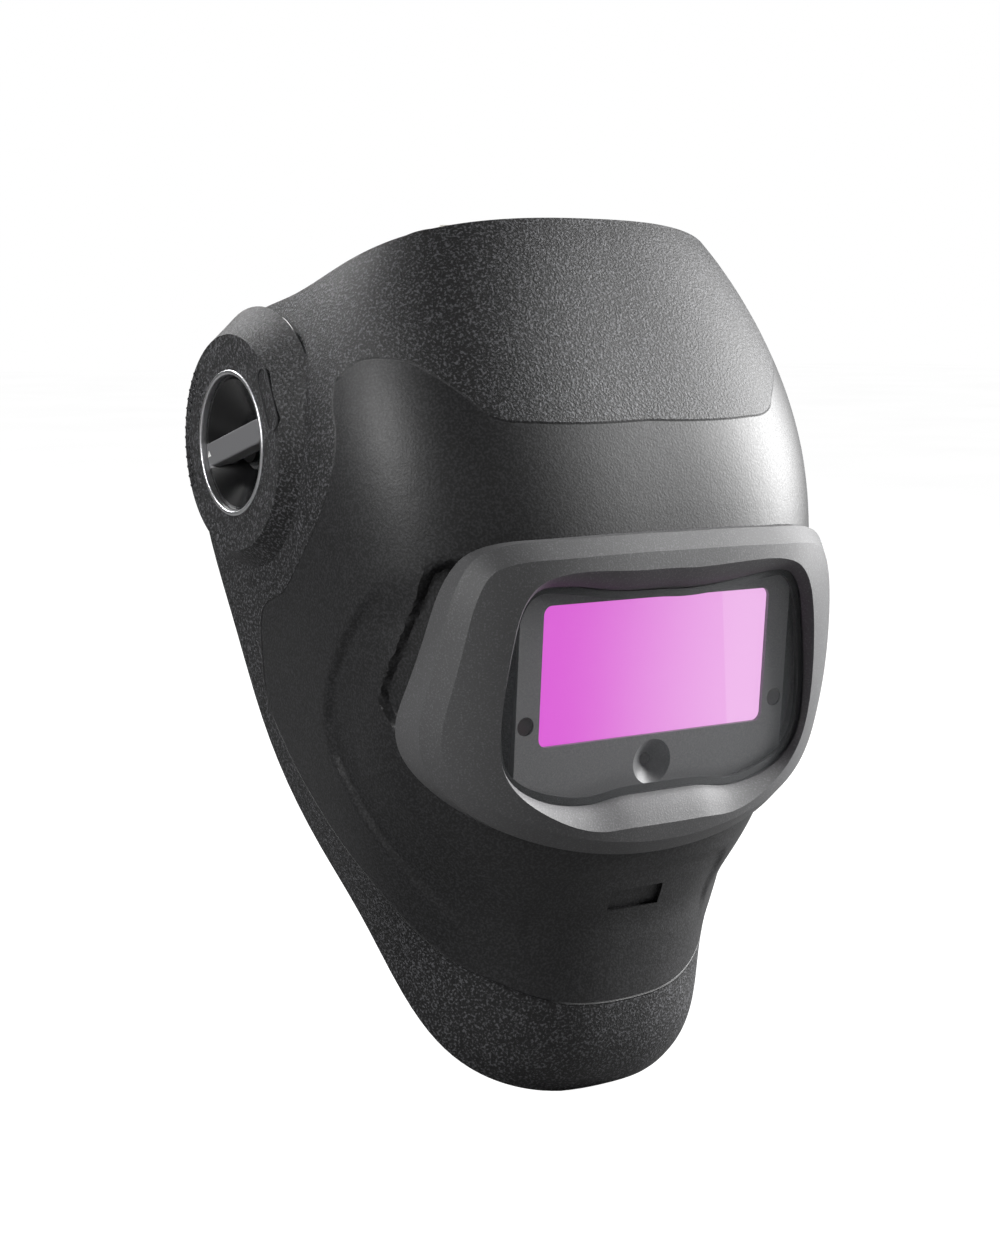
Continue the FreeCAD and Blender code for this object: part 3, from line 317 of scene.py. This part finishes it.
def moulded(name):
    # plastic and rubber straight from the mould: a faint grain breaks up the reflections
    look = finishes[name]
    material, tree, bsdf, place = startMaterial(name, IOR=1.5)
    grain = addNode(tree, "ShaderNodeTexNoise", {
        "Vector": place, "Scale": perMetre(look["grainMm"]), "Detail": 3.0, "Roughness": 0.6}).outputs["Fac"]
    flow = addNode(tree, "ShaderNodeTexNoise", {
        "Vector": place, "Scale": perMetre(38), "Detail": 2.0}).outputs["Fac"]
    speck = ramp(tree, grain, *look["speckAt"])
    colour = colourRamp(tree, speck, linear(look["colour"]), linear(look["speck"]))
    tree.links.new(colour, bsdf.inputs["Base Color"])
    rough = ramp(tree, flow, 0.3, 0.7, look["rough"] - 0.04, look["rough"] + 0.05)
    tree.links.new(rough, bsdf.inputs["Roughness"])
    bump = addNode(tree, "ShaderNodeBump", {
        "Height": grain, "Strength": 1.0, "Distance": look["depthMm"] / 1000})
    tree.links.new(bump.outputs["Normal"], bsdf.inputs["Normal"])
    return material


dress(moulded("coverNylon"), "front_cover")
dress(moulded("housingAbs"), "filter_housing_front", "filter_housing_back")
dress(moulded("frameNylon"), "filter_holder", "battery_tray_right", "battery_tray_left", "side_rail_right",
      "side_rail_left", "pivot_carrier_right", "pivot_carrier_left", "rear_cradle", "cradle_cover")
dress(moulded("bandPolypropylene"), "headband", "crown_strap_cross", "crown_strap_rear",
      "rack_tongue_right", "rack_tongue_left")
dress(moulded("dialNylon"), "size_dial")
dress(moulded("mouldedAcetal"), "pivot_bush_right", "pivot_bush_left", "pinion", "crown_studs")
dress(moulded("sealRubber"), "plate_seal")
dress(moulded("buttonRubber"), "shade_button", "delay_button", "sensitivity_button")
dress(moulded("hardFibre"), "friction_washer_right", "friction_washer_left", "dial_washer")

knobLook = dict(
    leanDegrees=-16.0, barHalf=0.0050, barFrom=0.1085, barEdge=0.0002, barRise=0.001,
    bowlColour="0d0d0e", barColour="6a6a6c", bowlRough=0.22, barRough=0.48,
    bowlGrain=0.000004, barGrain=0.00004,
)


def glossyKnob():
    # polished black bowl; the raised grip bar is fine-eroded, so it reads as mid grey
    material, tree, bsdf, place = startMaterial("knobNylon", IOR=1.5, Roughness=knobLook["bowlRough"])
    turned = addNode(tree, "ShaderNodeMapping", {
        "Vector": place, "Rotation": (math.radians(-knobLook["leanDegrees"]), 0, 0)})
    xyz = addNode(tree, "ShaderNodeSeparateXYZ", {0: turned.outputs[0]}).outputs
    barHalf, barFrom = knobLook["barHalf"], knobLook["barFrom"]
    across = ramp(tree, sums(tree, "ABSOLUTE", xyz["Z"]), barHalf + knobLook["barEdge"], barHalf)
    proud = ramp(tree, sums(tree, "ABSOLUTE", xyz["X"]), barFrom, barFrom + knobLook["barRise"])
    bar = sums(tree, "MULTIPLY", across, proud)
    grain = addNode(tree, "ShaderNodeTexNoise", {
        "Vector": place, "Scale": perMetre(0.7), "Detail": 2.0}).outputs["Fac"]
    colour = colourRamp(tree, bar, linear(knobLook["bowlColour"]), linear(knobLook["barColour"]))
    tree.links.new(colour, bsdf.inputs["Base Color"])
    rough = ramp(tree, bar, 0, 1, knobLook["bowlRough"], knobLook["barRough"])
    tree.links.new(rough, bsdf.inputs["Roughness"])
    deep = sums(tree, "MULTIPLY_ADD", bar, knobLook["barGrain"], knobLook["bowlGrain"])
    height = sums(tree, "MULTIPLY", grain, deep)
    bump = addNode(tree, "ShaderNodeBump", {"Height": height, "Strength": 1.0, "Distance": 1.0})
    tree.links.new(bump.outputs["Normal"], bsdf.inputs["Normal"])
    return material


dress(glossyKnob(), "friction_knob_right", "friction_knob_left")

metals = dict(
    platedRing=dict(colour="f0f0f2", rough=0.34, stretch=(60, 900, 900), depthMm=0.004),
    zincSteel=dict(colour="a8abae", rough=0.34, stretch=(400, 400, 1200), depthMm=0.01),
    stampedSteel=dict(colour="bcbcb8", rough=0.26, stretch=(900, 300, 900), depthMm=0.006),
    turnedBrass=dict(colour="b8924f", rough=0.28, stretch=(1500, 300, 300), depthMm=0.01),
)


def worked(name):
    # metal with the streaks its making left: polished and plated, rolled, stamped or turned
    look = metals[name]
    material, tree, bsdf, place = startMaterial(name, Metallic=1.0, Base_Color=linear(look["colour"]))
    drawn = addNode(tree, "ShaderNodeMapping", {"Vector": place, "Scale": look["stretch"]})
    streak = addNode(tree, "ShaderNodeTexNoise", {
        "Vector": drawn.outputs[0], "Scale": 1.0, "Detail": 4.0}).outputs["Fac"]
    rough = ramp(tree, streak, 0.2, 0.8, look["rough"] - 0.05, look["rough"] + 0.10)
    tree.links.new(rough, bsdf.inputs["Roughness"])
    bump = addNode(tree, "ShaderNodeBump", {
        "Height": streak, "Strength": 1.0, "Distance": look["depthMm"] / 1000})
    tree.links.new(bump.outputs["Normal"], bsdf.inputs["Normal"])
    return material


dress(worked("platedRing"), "knob_ring_right", "knob_ring_left")
dress(worked("zincSteel"), "pivot_bolt_right", "pivot_bolt_left", "wave_spring_right", "wave_spring_left")
dress(worked("stampedSteel"), "coin_cell_right", "coin_cell_left")
dress(worked("turnedBrass"), "knob_nut_right", "knob_nut_left")


def clearPlate():
    # clear hard-coated polycarbonate: nearly invisible but for its reflections and a few wipe marks
    material, tree, bsdf, place = startMaterial(
        "hardCoatedPolycarbonate", Base_Color=linear("76797c"), IOR=1.585, Alpha=0.10)
    wipe = addNode(tree, "ShaderNodeMapping", {"Vector": place, "Scale": (14, 14, 260)})
    haze = addNode(tree, "ShaderNodeTexNoise", {
        "Vector": wipe.outputs[0], "Scale": 1.0, "Detail": 5.0}).outputs["Fac"]
    tree.links.new(ramp(tree, haze, 0.3, 0.8, 0.03, 0.12), bsdf.inputs["Roughness"])
    return material


dress(clearPlate(), "outer_plate", "inner_plate")

filterPaintedReflection = dict(
    # left and right: the emitted colours of the painted reflection, paler on the lit right side; body: the
    # glass's own dark colour
    left="e860e2", right="fcc0f8", body="3a1038", paintedGlow=1.02,
    # x where the painted reflection's colour starts and ends, and where the slanting painted highlight band
    # begins
    fromX=-0.055, toX=0.050, highlightBandX=(0.0245, 0.0250), highlightBandSlant=0.12, highlightBandShare=0.16, drift=0.12,
)


def paintedReflectionFilter():
    # painted reflection: the dichroic magenta coating throws magenta straight back, and here the glass glows
    # that magenta by emission instead, painted paler towards the lit side, with a slanting painted highlight
    # band
    material, tree, bsdf, place = startMaterial(
        "filterGlassPaintedReflection", Roughness=0.12, IOR=1.52, Emission_Strength=filterPaintedReflection["paintedGlow"])
    xyz = addNode(tree, "ShaderNodeSeparateXYZ", {0: place}).outputs
    look = filterPaintedReflection
    across = ramp(tree, xyz["X"], look["fromX"], look["toX"])
    slant = sums(tree, "MULTIPLY_ADD", xyz["Z"], look["highlightBandSlant"], xyz["X"])
    # painted highlight: the slanting pale band of the painted reflection
    pale = ramp(tree, slant, *look["highlightBandX"])
    plain = sums(tree, "MULTIPLY", across, 1 - look["highlightBandShare"])
    share = sums(tree, "MULTIPLY_ADD", pale, look["highlightBandShare"], plain)
    cloud = addNode(tree, "ShaderNodeTexNoise", {"Vector": place, "Scale": perMetre(60)}).outputs["Fac"]
    cloud = sums(tree, "SUBTRACT", cloud, 0.5)
    share = sums(tree, "MULTIPLY_ADD", cloud, look["drift"], share)
    # painted reflection colour, deep magenta on the left and paler on the lit right, fed to the emission so
    # that the glass glows though it is no lamp
    colour = colourRamp(tree, share, linear(filterPaintedReflection["left"]), linear(filterPaintedReflection["right"]))
    bsdf.inputs["Base Color"].default_value = linear(look["body"])
    tree.links.new(colour, bsdf.inputs["Emission Color"])
    return material


dress(paintedReflectionFilter(), "filter_glass")


def darkGlass(name, low, high):
    # dark glass in depth: a slight cloud keeps it from being one flat tone
    material, tree, bsdf, place = startMaterial(name, Roughness=0.08, IOR=1.52)
    cloud = addNode(tree, "ShaderNodeTexNoise", {
        "Vector": place, "Scale": perMetre(12), "Detail": 2.0}).outputs["Fac"]
    tree.links.new(colourRamp(tree, cloud, linear(low), linear(high)), bsdf.inputs["Base Color"])
    return material


dress(darkGlass("liquidCrystalGlass", "0c1a15", "16291f"), "liquid_crystal_cell")
dress(darkGlass("sensorLens", "1c1216", "2b1a20"), "light_sensors")


def boardLaminate():
    # glass-epoxy laminate under green resist, with the weave just showing
    material, tree, bsdf, place = startMaterial("epoxyLaminate", Roughness=0.35, IOR=1.5)
    weave = addNode(tree, "ShaderNodeTexWave", {
        "Vector": place, "Scale": perMetre(6), "Distortion": 0.6}, bands_direction="X").outputs["Fac"]
    tree.links.new(colourRamp(tree, weave, linear("0f4a26"), linear("176033")), bsdf.inputs["Base Color"])
    return material


dress(boardLaminate(), "circuit_board")


def foamCloth():
    # brushed knit over foam: 1 mm knit rows drawn twice as coarse so that they show
    material, tree, bsdf, place = startMaterial("foamBackedCloth", Roughness=0.85)
    bsdf.inputs["Sheen Weight"].default_value = 0.35
    bsdf.inputs["Sheen Roughness"].default_value = 0.5
    rows = addNode(tree, "ShaderNodeTexVoronoi", {
        "Vector": place, "Scale": perMetre(2.0)}).outputs["Distance"]
    fluff = addNode(tree, "ShaderNodeTexNoise", {
        "Vector": place, "Scale": perMetre(9), "Detail": 4.0}).outputs["Fac"]
    colour = colourRamp(tree, fluff, linear("17171a"), linear("2d2d31"))
    tree.links.new(colour, bsdf.inputs["Base Color"])
    height = sums(tree, "MULTIPLY_ADD", rows, -0.0004, sums(tree, "MULTIPLY", fluff, 0.0008))
    bump = addNode(tree, "ShaderNodeBump", {"Height": height, "Strength": 1.0, "Distance": 1.0})
    tree.links.new(bump.outputs["Normal"], bsdf.inputs["Normal"])
    return material


clothFinish = foamCloth()
print("finishes made")


padLook = dict(
    sweatband=dict(body="headband", voxel=0.0030, shrink=0.0012, pressure=3.0, cap=0.0022),
    rear_pad=dict(body="headband", voxel=0.0030, shrink=0.0014, pressure=3.5, cap=0.0030),
)


def softPad(node):
    # the foam's own shape, blown up a little by cloth pressure so that it crowns between its edges
    look = padLook[node]
    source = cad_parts[node]
    pad = bpy.data.objects.new(node + "_cloth", source.data.copy())
    bpy.context.scene.collection.objects.link(pad)
    bpy.ops.object.select_all(action="DESELECT")
    bpy.context.view_layer.objects.active = pad
    pad.select_set(True)
    pad.data.materials.clear()
    bpy.ops.object.mode_set(mode="EDIT")
    bpy.ops.mesh.select_all(action="SELECT")
    bpy.ops.mesh.remove_doubles(threshold=mergeWithin)
    bpy.ops.object.mode_set(mode="OBJECT")
    pad.data.remesh_voxel_size = look["voxel"]
    bpy.ops.object.voxel_remesh()
    start = [v.co - v.normal * look["shrink"] for v in pad.data.vertices]
    for vertex, place in zip(pad.data.vertices, start):
        vertex.co = place
    cloth = pad.modifiers.new("press", "CLOTH")
    cloth.settings.use_pressure = True
    cloth.settings.uniform_pressure_force = look["pressure"]
    cloth.settings.effector_weights.gravity = 0
    cloth.settings.quality = 4
    for step in range(1, 15):
        bpy.context.scene.frame_set(step)
    seen = pad.evaluated_get(bpy.context.evaluated_depsgraph_get())
    swollen = [v.co.copy() for v in seen.data.vertices]
    pad.modifiers.clear()
    bpy.context.scene.frame_set(1)
    for vertex, before, after in zip(pad.data.vertices, start, swollen):
        move = after - before
        if move.length > look["cap"]:
            move *= look["cap"] / move.length
        vertex.co = before + move
    smooth = pad.modifiers.new("ease", "SMOOTH")
    smooth.iterations = 4
    bpy.ops.object.modifier_apply(modifier="ease")
    finer = pad.modifiers.new("finer", "SUBSURF")
    finer.levels = finer.render_levels = 1
    bpy.ops.object.modifier_apply(modifier="finer")
    bpy.ops.object.shade_smooth()
    pad.data.materials.append(clothFinish)
    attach(pad, look["body"])
    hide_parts(node)
    return pad


softPad("sweatband")
softPad("rear_pad")
print("pads made")


marks = dict(
    bossFace=0.1175, notches=13, notchFrom=-28, notchTo=38, notchRadius=0.0410,
    notchSize=(0.0007, 0.0036, 0.0009),
    rimCentre=(-0.0335, 0.019), rimStretch=0.0085, rimRound=0.0042, rimThick=0.0005, rimLean=62,
    pointerOut=0.0228, pointerSize=0.0017, pointerTaper=0.9, pointerThick=0.0003,
)


def addMark(name, body, material):
    # finishes the active mesh as a small mark on a body
    mark = bpy.context.object
    mark.name = mark.data.name = name
    bpy.ops.object.transform_apply(location=True, rotation=True, scale=True)
    mark.data.materials.clear()
    mark.data.materials.append(material)
    bpy.context.scene.cursor.location = (0, 0, 0)
    bpy.ops.object.origin_set(type="ORIGIN_CURSOR")
    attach(mark, body)
    return mark


def frictionScale(side, sign, material):
    # raised ticks along the rear edge of the boss, where the pointer's travel is read
    look = marks
    span = look["notchTo"] - look["notchFrom"]
    ticks = []
    for index in range(look["notches"]):
        turn = math.radians(look["notchFrom"] + span * index / (look["notches"] - 1))
        radius = look["notchRadius"]
        place = (sign * look["bossFace"], radius * math.cos(turn), radius * math.sin(turn))
        bpy.ops.mesh.primitive_cube_add(size=1, location=place, rotation=(turn, 0, 0))
        bpy.context.object.scale = look["notchSize"]
        ticks.append(bpy.context.object)
    bpy.ops.object.select_all(action="DESELECT")
    for tick in ticks:
        tick.select_set(True)
    bpy.context.view_layer.objects.active = ticks[0]
    bpy.ops.object.join()
    addMark("friction_scale_" + side, "shell", material)


def labelRim(side, sign, material):
    # the raised rim of the label field ahead of the knob, left blank
    look = marks
    bpy.ops.object.select_all(action="DESELECT")
    bpy.ops.mesh.primitive_torus_add(
        major_segments=48, minor_segments=8, major_radius=look["rimRound"],
        minor_radius=look["rimThick"])
    rim = bpy.context.object
    for vertex in rim.data.vertices:
        vertex.co.x += math.copysign(look["rimStretch"], vertex.co.x)
    rim.rotation_euler = (math.radians(90), 0, math.radians(90))
    bpy.ops.object.transform_apply(rotation=True)
    rim.rotation_euler = (math.radians(look["rimLean"]), 0, 0)
    rim.location = (sign * look["bossFace"], *look["rimCentre"])
    addMark("label_rim_" + side, "shell", material)


def knobPointer(side, sign, material):
    # painted triangle on the rear end of the grip bar
    look = marks
    lean = math.radians(knobLook["leanDegrees"])
    bpy.ops.object.select_all(action="DESELECT")
    bpy.ops.mesh.primitive_cone_add(
        vertices=3, radius1=look["pointerSize"],
        radius2=look["pointerSize"] * look["pointerTaper"], depth=look["pointerThick"])
    mark = bpy.context.object
    mark.rotation_euler = (0, math.radians(90), 0)
    bpy.ops.object.transform_apply(rotation=True)
    mark.rotation_euler = (math.radians(90) + lean, 0, 0)
    out = look["pointerOut"]
    mark.location = (sign * knobFace(), out * math.cos(lean), out * math.sin(lean))
    addMark("knob_pointer_" + side, "friction_knob_" + side, material)


def knobFace():
    # the outermost level of the grip bar
    return max(abs(v.co.x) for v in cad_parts["friction_knob_right"].data.vertices)


def whitePaint():
    # pad-printed white ink, a little uneven
    material, tree, bsdf, place = startMaterial("padPrintedInk", Roughness=0.5)
    cloud = addNode(tree, "ShaderNodeTexNoise", {"Vector": place, "Scale": perMetre(1.5)}).outputs["Fac"]
    tree.links.new(colourRamp(tree, cloud, linear("e2e2e0"), linear("f2f2f0")), bsdf.inputs["Base Color"])
    return material


tickFinish = moulded("frameNylon")
inkFinish = whitePaint()
for side, sign in (("right", -1), ("left", 1)):
    frictionScale(side, sign, tickFinish)
    labelRim(side, sign, tickFinish)
    knobPointer(side, sign, inkFinish)
print("marks made")


# camera and light
view = dict(yaw=32.9, down=9.1, roll=0.7, place=(-0.4765, -0.7543, 0.0602), focalPixels=2077)


def makeCamera():
    yaw, down, roll = (math.radians(view[k]) for k in ("yaw", "down", "roll"))
    forward = Vector((math.sin(yaw) * math.cos(down), math.cos(yaw) * math.cos(down), -math.sin(down)))
    right = Vector((math.cos(yaw), -math.sin(yaw), 0))
    up = right.cross(forward)
    rightRolled = right * math.cos(roll) + up * math.sin(roll)
    upRolled = up * math.cos(roll) - right * math.sin(roll)
    bpy.ops.object.camera_add()
    camera = bpy.context.object
    camera.name = "viewCamera"
    turn = Matrix((rightRolled, upRolled, -forward)).transposed().to_4x4()
    camera.matrix_world = Matrix.Translation(view["place"]) @ turn
    camera.data.sensor_width = 36
    camera.data.lens = 36 * view["focalPixels"] / 1252  # the sensor's 36 mm lie along the long side
    camera.data.clip_start = 0.02
    bpy.context.scene.camera = camera


def softLamp(name, place, target, size, power):
    bpy.ops.object.light_add(type="AREA", location=place)
    lamp = bpy.context.object
    lamp.name = name
    lamp.data.shape = "RECTANGLE"
    lamp.data.size, lamp.data.size_y = size
    lamp.data.energy = power
    lamp.rotation_euler = (Vector(target) - Vector(place)).to_track_quat("-Z", "Y").to_euler()


def makeStage():
    bpy.ops.mesh.primitive_plane_add(size=14, location=(0, 0, cadBox[0][2] - 0.0005))
    floor = bpy.context.object
    floor.name = "studioFloor"
    material, tree, bsdf, place = startMaterial("paleSweep", Roughness=0.95)
    mottle = addNode(tree, "ShaderNodeTexNoise", {"Vector": place, "Scale": 3.0}).outputs["Fac"]
    pale = colourRamp(tree, mottle, linear("f4f4f4"), linear("fafafa"))
    shade = colourRamp(tree, mottle, linear("6e6e6e"), linear("747474"))
    tree.links.new(shade, bsdf.inputs["Base Color"])  # a dim floor throws little light up at the chin
    tree.links.new(pale, bsdf.inputs["Emission Color"])
    seen = addNode(tree, "ShaderNodeLightPath").outputs["Is Camera Ray"]
    tree.links.new(ramp(tree, seen, 0, 1, 0.0, 1.06, smooth=False), bsdf.inputs["Emission Strength"])
    floor.data.materials.append(material)
    world = bpy.data.worlds.new("studio")
    bpy.context.scene.world = world
    world.use_nodes = True
    tree = world.node_tree
    seen = addNode(tree, "ShaderNodeLightPath").outputs["Is Camera Ray"]
    strength = ramp(tree, seen, 0, 1, 0.03, 1.0, smooth=False)
    tree.links.new(strength, tree.nodes["Background"].inputs["Strength"])
    tree.nodes["Background"].inputs["Color"].default_value = linear("ffffff")


makeCamera()
makeStage()
softLamp("rightSoftbox", (1.25, -0.42, 0.42), (0, -0.08, 0.0), (0.5, 0.8), 60)
softLamp("leftSoftbox", (-1.3, -0.12, 0.55), (0, -0.02, 0.0), (0.35, 0.6), 15)
softLamp("rearSoftbox", (-0.35, 1.15, 0.85), (0, 0, 0.05), (0.6, 0.4), 14)
softLamp("faceSoftbox", (-0.5, -1.5, 0.5), (0, 0, -0.1), (0.6, 0.5), 1.6)
bpy.context.scene.view_settings.view_transform = "Standard"
print("camera and lights set")

bpy.context.view_layer.update()
